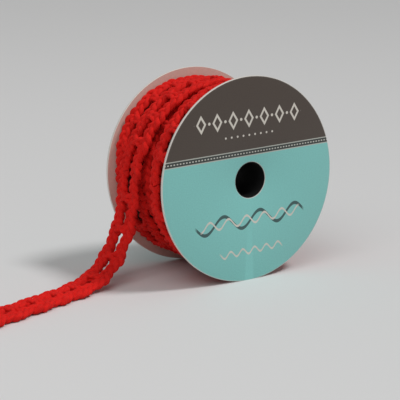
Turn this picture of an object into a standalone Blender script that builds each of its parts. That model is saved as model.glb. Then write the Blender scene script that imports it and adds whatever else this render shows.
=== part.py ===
"""Openwork crochet ribbon wound on a card reel, with its loose end running out over the table.

Metres, +Z up. The reel stands on the two flat feet of its card flanges, its axle lies along Y and its
printed front flange faces -Y. The ribbon leaves the reel on the -X side. The origin is at the middle of
the bottom of the whole object's box.
"""

from math import atan2, cos, degrees, hypot, pi, radians, sin

import bmesh
import bpy
from mathutils import Vector

# The reel: two printed card discs on a moulded hub.
FLANGE_RADIUS = 0.035
REEL_WIDTH = 0.036
CARD_THICKNESS = 0.0009
SPINDLE_HOLE_RADIUS = 0.0062
HUB_RADIUS = 0.010
FOOT_DEPTH = 0.00015
SEAT_GAP = 0.0003
FLANGE_STEPS = 80
HUB_STEPS = 48

# The ribbon: two crocheted cords, side by side, joined by a bar of stitches at each repeat.
CORD_WIDTH = 0.0042
RIBBON_THICKNESS = 0.0026
REPEAT = 0.0097
CORD_OFFSET_AT_BAR = 0.0030
CORD_OFFSET_AT_SLOT = 0.0036
BAR_SHARE = 0.20

# The winding. Angles are degrees round the reel, from +X over the top to -X.
REPEATS_A_TURN = 20
STEPS_A_REPEAT = 6
WOUND_COLUMNS = 30
WOUND_BED_RADIUS = 0.0268
WOUND_EDGE_RADIUS = 0.0296
BAR_DROP = 0.0006
SLOT_DROP = 0.0028
LAST_BAR_ANGLE = 174.0
RIDGE_END_ANGLE = 175.0

# How the top run of ribbon is laid, from the place where it leaves the reel and back along its length.
# Each row: degrees round the reel, place across its width, radius of the ribbon's middle, and tilt, which is
# the rise of the ribbon's back edge over its middle.
TOP_RUN = (
    (178.0, 0.0074, 0.0318, 0.0),
    (150.0, 0.0054, 0.0313, 0.0),
    (110.0, 0.0046, 0.0311, 0.0),
    (50.0, 0.0044, 0.0310, 0.0),
    (-10.0, 0.0020, 0.0310, 0.0),
    (-70.0, -0.0035, 0.0312, 0.0),
    (-130.0, -0.0090, 0.0312, 0.0),
    (-180.0, -0.0110, 0.0310, 0.0),
    (-260.0, -0.0112, 0.0309, 0.0),
    (-350.0, -0.0112, 0.0306, 0.0),
    (-400.0, -0.0112, 0.0290, -0.0005),
    (-440.0, -0.0112, 0.0282, 0.0),
    (-504.0, -0.0110, 0.0280, 0.0),
)
# The turn against the back flange, which the top run partly covers. The same columns, once round.
BACK_TURN = (
    (180.0, 0.0112, 0.0288, 0.0030),
    (150.0, 0.0110, 0.0309, 0.0024),
    (130.0, 0.0110, 0.0308, 0.0022),
    (110.0, 0.0110, 0.0301, 0.0018),
    (50.0, 0.0110, 0.0298, 0.0013),
    (0.0, 0.0110, 0.0303, 0.0005),
    (-60.0, 0.0110, 0.0308, 0.0003),
    (-120.0, 0.0110, 0.0305, 0.0006),
    (-180.0, 0.0112, 0.0288, 0.0030),
)
# The turn of the layer below, which shows where the turns above part.
UNDER_TURN = (
    (180.0, 0.0, 0.0274, 0.0),
    (-180.0, 0.0, 0.0274, 0.0),
)

# The loose end: the middle of the ribbon from the reel down to the table and along it. It is measured from
# the point of the table under the middle of the reel.
LOOSE_END_ROUTE = (
    (-0.0318, 0.0074, 0.0370),
    (-0.0321, 0.0077, 0.0318),
    (-0.0325, 0.0077, 0.0280),
    (-0.0336, 0.0073, 0.0230),
    (-0.0355, 0.0067, 0.0177),
    (-0.0383, 0.0058, 0.0122),
    (-0.0410, 0.0049, 0.0088),
    (-0.0448, 0.0037, 0.0056),
    (-0.0500, 0.0021, 0.0029),
    (-0.0570, -0.0003, 0.0015),
    (-0.0650, -0.0029, 0.0013),
    (-0.0746, -0.0061, 0.0013),
    (-0.0840, -0.0091, 0.0013),
    (-0.0935, -0.0120, 0.0013),
    (-0.1042, -0.0150, 0.0013),
)
LOOSE_END_REPEATS = 10
WIDTH_AT_REEL = Vector((0.0, 1.0, 0.0))
WIDTH_ON_TABLE = Vector((-0.31, 0.95, 0.0)).normalized()
# Rows of faces along one repeat, as shares of it, and the half-width of the slot at each of them.
SLOT_ROWS = (
    (0.0, 0.0004),
    (0.10, 0.0006),
    (0.34, 0.0017),
    (0.66, 0.0017),
    (0.90, 0.0006),
)

AXLE_HEIGHT = FLANGE_RADIUS - FOOT_DEPTH
INNER_HALF_WIDTH = REEL_WIDTH / 2 - CARD_THICKNESS
WOUND_HALF_WIDTH = INNER_HALF_WIDTH - SEAT_GAP

RED_COTTON = (0.56, 0.018, 0.016)
PRINTED_CARD = (0.17, 0.41, 0.38)
BLACK_PLASTIC = (0.012, 0.012, 0.012)


def material(name, colour, roughness):
    """A plain material with one colour and no metal in it."""
    made = bpy.data.materials.new(name)
    made.use_nodes = True
    shader = made.node_tree.nodes["Principled BSDF"]
    shader.inputs["Base Color"].default_value = (*colour, 1.0)
    shader.inputs["Roughness"].default_value = roughness
    shader.inputs["Metallic"].default_value = 0.0
    return made


def add_object(name, data, collection, parent, finish=None):
    """An object of this collection, parented to an empty and given its material."""
    made = bpy.data.objects.new(name, data)
    collection.objects.link(made)
    made.parent = parent
    if finish:
        made.data.materials.append(finish)
    return made


def mesh_of_modifiers(obj):
    """Puts the object's modifiers into its mesh, so that its points can be moved."""
    bpy.context.view_layer.update()
    evaluated = obj.evaluated_get(bpy.context.evaluated_depsgraph_get())
    mesh = bpy.data.meshes.new_from_object(evaluated)
    obj.modifiers.clear()
    obj.data = mesh


def smooth_rounds(obj, sharp_from_degrees=40.0):
    """Shades the round faces smooth and keeps the edges between them and the flat ones sharp."""
    obj.data.shade_smooth()
    obj.data.set_sharp_from_angle(angle=radians(sharp_from_degrees))


def turned_ring(name, profile, steps, collection, parent, finish):
    """A ring turned about the axle from a closed profile of (radius, place along the axle) points.

    The profile is drawn about local Z, and the object is laid over so that local +Z points to the front.
    """
    bm = bmesh.new()
    corners = [bm.verts.new((radius, 0.0, along)) for radius, along in profile]
    for first, second in zip(corners, corners[1:] + corners[:1]):
        bm.edges.new((first, second))
    mesh = bpy.data.meshes.new(name)
    bm.to_mesh(mesh)
    bm.free()
    ring = add_object(name, mesh, collection, parent, finish)
    ring.rotation_euler = (pi / 2, 0.0, 0.0)
    screw = ring.modifiers.new("Turn", "SCREW")
    screw.axis = "Z"
    screw.steps = steps
    screw.render_steps = steps
    screw.use_merge_vertices = True
    screw.merge_threshold = 0.00001
    return ring


def square_profile(inner, outer, back, front):
    """The four corners of a ring's section, in the order that turns with its faces outwards."""
    return [(outer, front), (outer, back), (inner, back), (inner, front)]


def make_flange(name, outer_face, inner_face, cutter, collection, parent, finish):
    """A card disc with the spindle hole, and a small flat foot under its rim."""
    back, front = sorted((outer_face, inner_face))
    profile = square_profile(SPINDLE_HOLE_RADIUS, FLANGE_RADIUS, back, front)
    flange = turned_ring(name, profile, FLANGE_STEPS, collection, parent, finish)
    foot = flange.modifiers.new("Flat foot", "BOOLEAN")
    foot.operation = "DIFFERENCE"
    foot.object = cutter
    smooth_rounds(flange)
    return flange


def make_foot_cutter(collection, parent):
    """A block under the table's level, which cuts the flat feet."""
    bm = bmesh.new()
    bmesh.ops.create_cube(bm, size=FLANGE_RADIUS)
    mesh = bpy.data.meshes.new("foot_cutter")
    bm.to_mesh(mesh)
    bm.free()
    cutter = add_object("foot_cutter", mesh, collection, parent)
    cutter.location = (0.0, 0.0, -AXLE_HEIGHT - FLANGE_RADIUS / 2)
    cutter.scale = (1.0, 2.0, 1.0)
    cutter.hide_render = True
    cutter.display_type = "WIRE"
    return cutter


def make_hub(collection, parent, finish):
    """The moulded tube between the flanges, with the spindle hole through it."""
    reach = INNER_HALF_WIDTH - SEAT_GAP
    profile = square_profile(SPINDLE_HOLE_RADIUS, HUB_RADIUS, -reach, reach)
    hub = turned_ring("hub", profile, HUB_STEPS, collection, parent, finish)
    smooth_rounds(hub)
    return hub


def eased(share):
    """A share from 0 to 1 that starts and ends gently."""
    return share * share * (3.0 - 2.0 * share)


def laid_at(run, angle):
    """Place across the reel, radius and tilt of a run at this angle, or None past its ends."""
    for later, earlier in zip(run, run[1:]):
        if earlier[0] <= angle <= later[0]:
            share = eased((later[0] - angle) / (later[0] - earlier[0]))
            return [a + (b - a) * share for a, b in zip(later[1:], earlier[1:])]
    return None


def cord_offset(share):
    """How far each cord's middle lies from the ribbon's, at a share of a repeat counted from a bar."""
    swing = (1.0 - cos(2.0 * pi * share)) / 2.0
    return CORD_OFFSET_AT_BAR + (CORD_OFFSET_AT_SLOT - CORD_OFFSET_AT_BAR) * swing


def lift_of_ribbon(across, share):
    """Height of the ribbon's face over its middle at this place across it, or None beside it."""
    from_cord = abs(abs(across) - cord_offset(share)) / (CORD_WIDTH / 2)
    if from_cord < 1.0:
        return RIBBON_THICKNESS / 2 * (1.0 - from_cord**2) ** 0.5
    if abs(across) > cord_offset(share):
        return None
    at_bar = min(share, 1.0 - share) < BAR_SHARE / 2
    return RIBBON_THICKNESS / 2 - (BAR_DROP if at_bar else SLOT_DROP)


def wound_radius(angle, along):
    """Radius of the winding's surface, from whichever turn of ribbon lies highest there."""
    highest = WOUND_BED_RADIUS
    for run in (TOP_RUN, BACK_TURN, UNDER_TURN):
        for run_angle in (angle, angle - 360.0):
            laid = laid_at(run, run_angle)
            if not laid or (run is TOP_RUN and run_angle > RIDGE_END_ANGLE):
                continue
            place, radius, tilt = laid
            across = along - place
            share = (LAST_BAR_ANGLE - run_angle) * REPEATS_A_TURN / 360.0 % 1.0
            lift = lift_of_ribbon(across, share)
            if lift is not None:
                edge = cord_offset(share) + CORD_WIDTH / 2
                highest = max(highest, radius + tilt * across / edge + lift)
    return highest


def softened(radii):
    """The same grid of radii, each drawn part of the way to those before, after and beside it."""
    soft = []
    for step, here in enumerate(radii):
        before = radii[step - 1]
        after = radii[(step + 1) % len(radii)]
        along = [(b + 4.0 * h + a) / 6.0 for b, h, a in zip(before, here, after)]
        last = len(along) - 1
        soft.append(
            [
                (along[max(c - 1, 0)] + 4.0 * along[c] + along[min(c + 1, last)]) / 6.0
                for c in range(last + 1)
            ]
        )
    return soft


def make_winding(collection, parent, finish):
    """The wound ribbon as one ring, its cords raised and its slots sunk in the ring's outer face."""
    bore = HUB_RADIUS + SEAT_GAP
    steps = REPEATS_A_TURN * STEPS_A_REPEAT
    column_width = 2.0 * WOUND_HALF_WIDTH / WOUND_COLUMNS
    places = [WOUND_HALF_WIDTH - column_width * column for column in range(WOUND_COLUMNS + 1)]
    profile = [(WOUND_BED_RADIUS, place) for place in places]
    profile += [(bore, -WOUND_HALF_WIDTH), (bore, WOUND_HALF_WIDTH)]
    winding = turned_ring("winding", profile, steps, collection, parent, finish)
    mesh_of_modifiers(winding)
    radii = [
        [wound_radius(180.0 - 360.0 * step / steps, -place) for place in places]
        for step in range(steps)
    ]
    for row in radii:
        row[0] = WOUND_EDGE_RADIUS
        row[-1] = WOUND_EDGE_RADIUS
    radii = softened(radii)
    for vertex in winding.data.vertices:
        x, up, front = vertex.co
        reach = hypot(x, up)
        if reach < (bore + WOUND_BED_RADIUS) / 2:
            continue
        step = round((180.0 - degrees(atan2(up, x))) * steps / 360.0) % steps
        column = round((WOUND_HALF_WIDTH - front) / column_width)
        vertex.co.x *= radii[step][column] / reach
        vertex.co.y *= radii[step][column] / reach
    smooth_rounds(winding)
    return winding


def smooth_point(points, place):
    """The point at a place from 0 to the number of spans on a smooth curve through all the points."""
    span = min(int(place), len(points) - 2)
    share = place - span
    ends = [
        points[max(span - 1, 0)],
        points[span],
        points[span + 1],
        points[min(span + 2, len(points) - 1)],
    ]
    before, start, end, after = (Vector(point) for point in ends)
    straight = start * 2.0 + (end - before) * share
    bend = (before * 2.0 - start * 5.0 + end * 4.0 - after) * share**2
    turn = (start * 3.0 - before - end * 3.0 + after) * share**3
    return (straight + bend + turn) / 2.0


def even_route(points, length, spacing):
    """Points a spacing apart along the smooth curve, drawn on straight at its end to the full length."""
    fine = [smooth_point(points, k / 40) for k in range(40 * (len(points) - 1) + 1)]
    even = [fine[0]]
    walked = 0.0
    for first, second in zip(fine, fine[1:]):
        step = (second - first).length
        while walked + step >= spacing * len(even):
            share = (spacing * len(even) - walked) / step
            even.append(first.lerp(second, share))
        walked += step
    heading = (fine[-1] - fine[-2]).normalized()
    while spacing * (len(even) - 1) < length:
        even.append(even[-1] + heading * spacing)
    return even


def on_route(route, spacing, along):
    """The point at this length along the even route, and the direction there."""
    span = min(int(along / spacing), len(route) - 2)
    point = route[span].lerp(route[span + 1], along / spacing - span)
    before = route[max(span - 1, 0)]
    after = route[min(span + 2, len(route) - 1)]
    return point, (after - before).normalized()


def make_loose_end(collection, parent, finish):
    """The free end of the ribbon: an openwork band with its slots cut through and scalloped edges."""
    length = REPEAT * LOOSE_END_REPEATS
    spacing = REPEAT / 20
    route = even_route(LOOSE_END_ROUTE, length, spacing)
    rows = [
        (repeat + share, slot_half)
        for repeat in range(LOOSE_END_REPEATS)
        for share, slot_half in SLOT_ROWS
    ] + [(float(LOOSE_END_REPEATS), SLOT_ROWS[0][1])]
    columns = 5
    bm = bmesh.new()
    bmesh.ops.create_grid(
        bm, x_segments=len(rows) - 1, y_segments=columns, size=0.5
    )
    slot_faces = []
    for face in bm.faces:
        middle = face.calc_center_median()
        row = int((middle.x + 0.5) * (len(rows) - 1))
        share = (rows[row][0] + rows[row + 1][0]) / 2 % 1.0
        in_middle = abs(middle.y) < 0.5 / columns
        if in_middle and BAR_SHARE / 2 < share < 1.0 - BAR_SHARE / 2:
            slot_faces.append(face)
    for vertex in bm.verts:
        row = round((vertex.co.x + 0.5) * (len(rows) - 1))
        column = round((vertex.co.y + 0.5) * columns)
        place, slot_half = rows[row]
        offset = cord_offset(place % 1.0)
        half = (slot_half, offset, offset + CORD_WIDTH / 2)
        across = (-half[2], -half[1], -half[0], half[0], half[1], half[2])[column]
        point, heading = on_route(route, spacing, place * REPEAT)
        turned = eased(min(place / LOOSE_END_REPEATS * 3.0, 1.0))
        width = WIDTH_AT_REEL.lerp(WIDTH_ON_TABLE, turned)
        width = (width - heading * width.dot(heading)).normalized()
        vertex.co = point + width * across
    bmesh.ops.delete(bm, geom=slot_faces, context="FACES")
    mesh = bpy.data.meshes.new("loose_end")
    bm.to_mesh(mesh)
    bm.free()
    loose_end = add_object("loose_end", mesh, collection, parent, finish)
    thick = loose_end.modifiers.new("Thickness", "SOLIDIFY")
    thick.thickness = RIBBON_THICKNESS
    thick.offset = 0.0
    rounded = loose_end.modifiers.new("Rounded cords", "SUBSURF")
    rounded.levels = 1
    rounded.render_levels = 1
    mesh_of_modifiers(loose_end)
    for vertex in loose_end.data.vertices:
        vertex.co.z = max(vertex.co.z, 0.0)
    smooth_rounds(loose_end)
    return loose_end


def centre_on_origin(pieces, root):
    """Moves the root so that the middle of the bottom of the object's box is at the origin."""
    bpy.context.view_layer.update()
    graph = bpy.context.evaluated_depsgraph_get()
    corners = []
    for piece in pieces:
        evaluated = piece.evaluated_get(graph)
        mesh = evaluated.to_mesh()
        corners += [evaluated.matrix_world @ vertex.co for vertex in mesh.vertices]
        evaluated.to_mesh_clear()
    middle_x = (min(c.x for c in corners) + max(c.x for c in corners)) / 2
    middle_y = (min(c.y for c in corners) + max(c.y for c in corners)) / 2
    root.location = (-middle_x, -middle_y, 0.0)


def main():
    for old in list(bpy.data.objects):
        bpy.data.objects.remove(old)
    parts = bpy.data.collections.new("ribbon_on_reel")
    cutters = bpy.data.collections.new("cutters")
    bpy.context.scene.collection.children.link(parts)
    bpy.context.scene.collection.children.link(cutters)

    root = add_object("ribbon_on_reel_origin", None, parts, None)
    axle = add_object("axle", None, parts, root)
    axle.location = (0.0, 0.0, AXLE_HEIGHT)

    cotton = material("red_cotton", RED_COTTON, 0.9)
    card = material("printed_card", PRINTED_CARD, 0.55)
    plastic = material("black_plastic", BLACK_PLASTIC, 0.5)

    cutter = make_foot_cutter(cutters, axle)
    outside = REEL_WIDTH / 2
    pieces = [
        make_flange("front_flange", outside, INNER_HALF_WIDTH, cutter, parts, axle, card),
        make_flange("back_flange", -outside, -INNER_HALF_WIDTH, cutter, parts, axle, card),
        make_hub(parts, axle, plastic),
        make_winding(parts, axle, cotton),
        make_loose_end(parts, root, cotton),
    ]
    centre_on_origin(pieces, root)


main()
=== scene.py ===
"""Looks of an openwork crochet ribbon on a printed card reel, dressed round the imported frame.

Lengths are in metres and in the frame's own axes: +Z up, the reel's axle along Y with its printed
front towards -Y, and the ribbon's loose end running out over the table towards -X.
"""

import logging
from dataclasses import dataclass, field
from enum import Enum
from math import pi, radians

import bmesh
import bpy
import numpy as np
from mathutils import Matrix, Vector


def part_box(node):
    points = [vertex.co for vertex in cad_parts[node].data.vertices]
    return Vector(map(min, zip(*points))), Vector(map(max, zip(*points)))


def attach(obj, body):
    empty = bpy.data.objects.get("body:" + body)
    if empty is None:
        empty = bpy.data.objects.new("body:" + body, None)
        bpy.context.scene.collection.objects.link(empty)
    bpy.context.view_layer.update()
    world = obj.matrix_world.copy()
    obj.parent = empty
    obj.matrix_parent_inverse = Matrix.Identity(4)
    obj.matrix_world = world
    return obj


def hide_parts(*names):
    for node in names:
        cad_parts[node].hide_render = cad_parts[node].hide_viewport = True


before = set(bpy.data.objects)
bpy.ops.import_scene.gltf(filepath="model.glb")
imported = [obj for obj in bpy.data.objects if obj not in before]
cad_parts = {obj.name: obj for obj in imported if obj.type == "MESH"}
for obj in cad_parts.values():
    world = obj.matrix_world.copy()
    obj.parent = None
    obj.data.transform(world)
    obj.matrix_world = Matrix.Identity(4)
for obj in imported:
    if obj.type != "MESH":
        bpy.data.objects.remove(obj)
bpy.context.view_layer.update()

log = logging.getLogger("ribbon_reel")
Array = np.ndarray
Socket = bpy.types.NodeSocket
MM = 0.001


class Slot(Enum):
    """The record's material slots."""

    COTTON = "red_cotton"
    CARD = "printed_card"
    PLASTIC = "black_plastic"


class Side(Enum):
    """Which end of the axle a flange is on: the sign of its place along Y."""

    FRONT = -1
    BACK = 1


# How each turn of ribbon is laid on the reel. The columns are degrees round the reel from +X over
# the top to -X, then millimetres: place across the reel's width, radius of the ribbon's middle, and
# tilt, which is the rise of the ribbon's back edge over its middle. Each turn's rows run from its
# later end to its earlier one.
TOP_TURN = (
    (176.1, 7.4, 31.8, 0.0),
    (150.0, 5.4, 31.3, 0.0),
    (110.0, 4.6, 31.1, 0.0),
    (50.0, 4.4, 31.0, 0.0),
    (-10.0, 2.0, 31.0, 0.0),
    (-70.0, -3.5, 31.2, 0.0),
    (-130.0, -9.0, 31.2, 0.0),
    (-180.0, -11.0, 31.0, 0.0),
)
FRONT_TURN = (
    (-180.0, -11.0, 31.0, 0.0),
    (-260.0, -11.2, 30.9, 0.0),
    (-350.0, -11.2, 30.6, 0.0),
    (-400.0, -11.2, 29.0, -0.5),
    (-440.0, -11.2, 28.2, 0.0),
    (-504.0, -11.0, 28.0, 0.0),
)
BACK_TURN = (
    (180.0, 11.0, 29.6, 2.4),
    (150.0, 11.0, 30.9, 2.4),
    (130.0, 11.0, 30.8, 2.2),
    (110.0, 11.0, 30.1, 1.8),
    (50.0, 11.0, 29.8, 1.3),
    (0.0, 11.0, 30.3, 0.5),
    (-60.0, 11.0, 30.8, 0.3),
    (-120.0, 11.0, 30.5, 0.6),
    (-180.0, 11.0, 29.6, 2.4),
)
UNDER_TURN = (
    (180.0, 0.0, 27.4, 0.0),
    (60.0, 0.0, 27.4, 0.0),
    (-60.0, 0.0, 27.4, 0.0),
    (-180.0, 0.0, 27.4, 0.0),
)
# The loose end's middle, in millimetres from the table under the middle of the reel.
LOOSE_END_ROUTE = (
    (-31.8, 7.4, 37.0),
    (-32.1, 7.7, 31.8),
    (-32.5, 7.7, 28.0),
    (-33.6, 7.3, 23.0),
    (-35.5, 6.7, 17.7),
    (-38.3, 5.8, 12.2),
    (-41.0, 4.9, 8.8),
    (-44.8, 3.7, 5.6),
    (-50.0, 2.1, 2.9),
    (-57.0, -0.3, 1.5),
    (-65.0, -2.9, 1.3),
    (-74.6, -6.1, 1.3),
    (-84.0, -9.1, 1.3),
    (-93.5, -12.0, 1.3),
    (-104.2, -15.0, 1.3),
)
# The middle of each slot along the run that leaves the reel, in millimetres from where it leaves.
SLOT_PLACES = (-34.8, -25.4, -15.6, -5.9, 3.6, 14.5, 25.0, 35.3, 45.1, 54.3, 63.3, 73.2, 82.9, 92.6)


def linear(hex_colour: str) -> tuple[float, float, float, float]:
    """Turns an sRGB hex colour into the linear one that a shader takes.

    Args:
        hex_colour: Six hex digits after a hash mark.

    Returns:
        Linear red, green, blue and an alpha of one.
    """
    channels = [int(hex_colour[i : i + 2], 16) / 255 for i in (1, 3, 5)]
    red, green, blue = (
        c / 12.92 if c <= 0.04045 else ((c + 0.055) / 1.055) ** 2.4 for c in channels
    )
    return red, green, blue, 1.0


def add_node(
    tree: bpy.types.NodeTree, kind: str, inputs: dict | None = None, **settings
) -> bpy.types.Node:
    """Adds one node with its settings, its inputs' values and its links.

    Args:
        tree: The node tree that takes it.
        kind: The node's type name.
        inputs: For an input's name or number, a value to set or an output socket to link.
        **settings: The node's own properties.

    Returns:
        The new node.
    """
    node = tree.nodes.new(kind)
    for name, value in settings.items():
        setattr(node, name, value)
    for name, value in (inputs or {}).items():
        if isinstance(value, Socket):
            tree.links.new(value, node.inputs[name])
        else:
            node.inputs[name].default_value = value
    return node


def start_material(name: str) -> tuple[bpy.types.Material, bpy.types.NodeTree, bpy.types.Node]:
    """Starts a material.

    Args:
        name: The material's name.

    Returns:
        The material, its node tree and its shader.
    """
    material = bpy.data.materials.new(name)
    material.use_nodes = True
    tree = material.node_tree
    return material, tree, tree.nodes["Principled BSDF"]


def smooth_through(knots: Array, values: Array, at: Array) -> Array:
    """Reads a smooth curve through known values, whose slope at each follows its neighbours.

    Args:
        knots: Rising places where the values are known.
        values: The value, or the row of values, at each knot.
        at: The places to read.

    Returns:
        A value, or a row of values, for each place read.
    """
    slopes = np.gradient(values, knots, axis=0)
    span = np.clip(np.searchsorted(knots, at, side="right") - 1, 0, len(knots) - 2)
    width = knots[span + 1] - knots[span]
    share = (at - knots[span]) / width
    if values.ndim > 1:
        width = width[:, None]
        share = share[:, None]
    rise = share * share * (3 - 2 * share)
    leaving = share * (1 - share) ** 2 * width
    arriving = share * share * (share - 1) * width
    curve = values[span] * (1 - rise) + values[span + 1] * rise
    return curve + slopes[span] * leaving + slopes[span + 1] * arriving


def unit(rows: Array) -> Array:
    """Scales each row to a length of one."""
    return rows / np.linalg.norm(rows, axis=1)[:, None]


def add_object(
    name: str, bm: bmesh.types.BMesh, materials: list[bpy.types.Material]
) -> bpy.types.Object:
    """Makes a smooth-shaded object at the origin from a finished bmesh, which it frees.

    Args:
        name: The piece's name.
        bm: Its geometry, in the frame's axes.
        materials: Its materials, in the order of their face indices.

    Returns:
        The object, linked to the scene.
    """
    mesh = bpy.data.meshes.new(name)
    bm.to_mesh(mesh)
    bm.free()
    piece = bpy.data.objects.new(name, mesh)
    bpy.context.scene.collection.objects.link(piece)
    for material in materials:
        mesh.materials.append(material)
    mesh.shade_smooth()
    mesh.set_sharp_from_angle(angle=radians(50))
    return piece


def soften(bm: bmesh.types.BMesh, width: float) -> None:
    """Rounds every square rim of a spun ring.

    Args:
        bm: The ring.
        width: The width of the rounding.
    """
    rims = [e for e in bm.edges if e.calc_face_angle(0.0) > radians(60)]
    bmesh.ops.bevel(
        bm,
        geom=rims,
        offset=width,
        offset_type="OFFSET",
        segments=2,
        profile=0.5,
        affect="EDGES",
        material=-1,
    )


def settle(piece: bpy.types.Object, stands_for: tuple[str, ...] = ()) -> None:
    """Ties a piece to the frame and logs it.

    Args:
        piece: The finished piece.
        stands_for: The CAD nodes that it replaces.
    """
    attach(piece, "root")
    if stands_for:
        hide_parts(*stands_for)
    piece.data.calc_loop_triangles()
    log.info("%s: %d triangles", piece.name, len(piece.data.loop_triangles))


def within(tree: bpy.types.NodeTree, distance: Socket, limit: float, soft: float) -> Socket:
    """Masks what is nearer than a limit, with a soft edge.

    Args:
        tree: The node tree.
        distance: The distance to test.
        limit: Where the mask has fallen to nothing.
        soft: The width of the edge.

    Returns:
        One inside and nothing outside.
    """
    gap = add_node(tree, "ShaderNodeMath", {0: limit, 1: distance}, operation="SUBTRACT")
    return add_node(
        tree, "ShaderNodeMath", {0: gap.outputs[0], 1: soft}, operation="DIVIDE", use_clamp=True
    ).outputs[0]


def from_line(tree: bpy.types.NodeTree, place: Socket, line: float) -> Socket:
    """The distance of a place from a line along the other axis."""
    gap = add_node(tree, "ShaderNodeMath", {0: place, 1: line}, operation="SUBTRACT")
    return add_node(tree, "ShaderNodeMath", {0: gap.outputs[0]}, operation="ABSOLUTE").outputs[0]


def both(tree: bpy.types.NodeTree, first: Socket, second: Socket) -> Socket:
    """The part that two masks share."""
    return add_node(tree, "ShaderNodeMath", {0: first, 1: second}, operation="MULTIPLY").outputs[0]


def paint(tree: bpy.types.NodeTree, under: Socket, colour: Socket | tuple, mask: Socket) -> Socket:
    """Lays a colour over another where the mask is one."""
    mix = add_node(tree, "ShaderNodeMix", {0: mask, 6: under, 7: colour}, data_type="RGBA")
    return mix.outputs[2]


@dataclass(frozen=True)
class CottonYarn:
    """Mercerised crochet cotton, plied and dyed: matte, with a soft bloom of fibre ends on it."""

    name: str = "plied_crochet_cotton"
    bright: str = "#e8211b"
    dull: str = "#c61612"
    ply_turn_mm: float = 4.8
    fibres_a_turn: float = 6.0
    fibres_round: float = 14.0
    fibre_mm: float = 0.35
    blotch_mm: float = 3.5
    roughness: float = 0.82

    def material(self) -> bpy.types.Material:
        """Builds the yarn's material, whose fibres follow each strand's own UV map.

        Returns:
            The material.
        """
        material, tree, shader = start_material(self.name)
        strand = add_node(tree, "ShaderNodeUVMap", uv_map="strand")
        place = add_node(tree, "ShaderNodeTexCoord")
        parts = add_node(tree, "ShaderNodeSeparateXYZ", {0: strand.outputs[0]})
        blotch = add_node(
            tree,
            "ShaderNodeTexNoise",
            {"Vector": place.outputs["Object"], "Scale": 1 / (self.blotch_mm * MM), "Detail": 3.0},
        )
        fuzz = add_node(
            tree,
            "ShaderNodeTexNoise",
            {"Vector": place.outputs["Object"], "Scale": 1 / (self.fibre_mm * MM), "Detail": 4.0},
        )
        # Fibres lie along the plies, so they slant round the strand once in each turn of ply.
        slant = add_node(
            tree,
            "ShaderNodeMath",
            {0: parts.outputs[0], 1: self.fibres_a_turn / self.ply_turn_mm},
            operation="MULTIPLY",
        )
        turned = add_node(
            tree,
            "ShaderNodeMath",
            {0: parts.outputs[1], 1: self.fibres_round, 2: slant.outputs[0]},
            operation="MULTIPLY_ADD",
        )
        loose = add_node(
            tree,
            "ShaderNodeMath",
            {0: fuzz.outputs[0], 1: 1.3, 2: turned.outputs[0]},
            operation="MULTIPLY_ADD",
        )
        turns = add_node(tree, "ShaderNodeMath", {0: loose.outputs[0], 1: 2 * pi}, operation="MULTIPLY")
        wave = add_node(tree, "ShaderNodeMath", {0: turns.outputs[0]}, operation="SINE")
        fibre = add_node(
            tree, "ShaderNodeMath", {0: wave.outputs[0], 1: 0.5, 2: 0.5}, operation="MULTIPLY_ADD"
        )
        tone = add_node(
            tree,
            "ShaderNodeMath",
            {0: fibre.outputs[0], 1: 0.35, 2: blotch.outputs[0]},
            operation="MULTIPLY_ADD",
            use_clamp=True,
        )
        ramp = add_node(tree, "ShaderNodeMapRange", {0: tone.outputs[0], 1: 0.35, 2: 0.85})
        colour = add_node(
            tree,
            "ShaderNodeMix",
            {0: ramp.outputs[0], 6: linear(self.dull), 7: linear(self.bright)},
            data_type="RGBA",
        )
        height = add_node(
            tree,
            "ShaderNodeMath",
            {0: fuzz.outputs[0], 1: 1.4, 2: fibre.outputs[0]},
            operation="MULTIPLY_ADD",
        )
        bump = add_node(
            tree,
            "ShaderNodeBump",
            {"Strength": 0.55, "Distance": 0.09 * MM, "Height": height.outputs[0]},
        )
        tree.links.new(colour.outputs[2], shader.inputs["Base Color"])
        tree.links.new(bump.outputs[0], shader.inputs["Normal"])
        shader.inputs["Roughness"].default_value = self.roughness
        shader.inputs["Specular IOR Level"].default_value = 0.15
        shader.inputs["Sheen Weight"].default_value = 0.05
        shader.inputs["Sheen Roughness"].default_value = 0.5
        shader.inputs["Sheen Tint"].default_value = linear("#ff9a90")
        return material


@dataclass(frozen=True)
class ShadeDarkenedCotton:
    """The same cotton where it lies tight under the top turns, its loops flattened, painted darker:
    painted shade for the depth between the turns.
    """

    name: str = "shade_darkened_cotton"
    # Both tones are painted shade: far darker than the yarn, for the depth under the top turns.
    bright: str = "#8c0f10"
    dull: str = "#5a0709"
    loop_mm: float = 1.5
    fibre_scale: float = 2800.0

    def material(self) -> bpy.types.Material:
        """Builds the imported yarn's material, its loops as cells of their real size.

        Returns:
            The material.
        """
        material, tree, shader = start_material(self.name)
        place = add_node(tree, "ShaderNodeTexCoord")
        loops = add_node(
            tree,
            "ShaderNodeTexVoronoi",
            {"Vector": place.outputs["Object"], "Scale": 1 / (self.loop_mm * MM)},
        )
        fuzz = add_node(
            tree,
            "ShaderNodeTexNoise",
            {"Vector": place.outputs["Object"], "Scale": self.fibre_scale, "Detail": 4.0},
        )
        # Darker at the cells' borders, where the loops meet and lie lower: painted crease shade.
        colour = add_node(
            tree,
            "ShaderNodeMix",
            {0: loops.outputs["Distance"], 6: linear(self.bright), 7: linear(self.dull)},
            data_type="RGBA",
        )
        height = add_node(
            tree,
            "ShaderNodeMath",
            {0: loops.outputs["Distance"], 1: -1.0, 2: fuzz.outputs[0]},
            operation="MULTIPLY_ADD",
        )
        bump = add_node(
            tree, "ShaderNodeBump", {"Strength": 0.8, "Distance": 0.4 * MM, "Height": height.outputs[0]}
        )
        tree.links.new(colour.outputs[2], shader.inputs["Base Color"])
        tree.links.new(bump.outputs[0], shader.inputs["Normal"])
        shader.inputs["Roughness"].default_value = 0.9
        shader.inputs["Specular IOR Level"].default_value = 0.2
        return material


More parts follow.
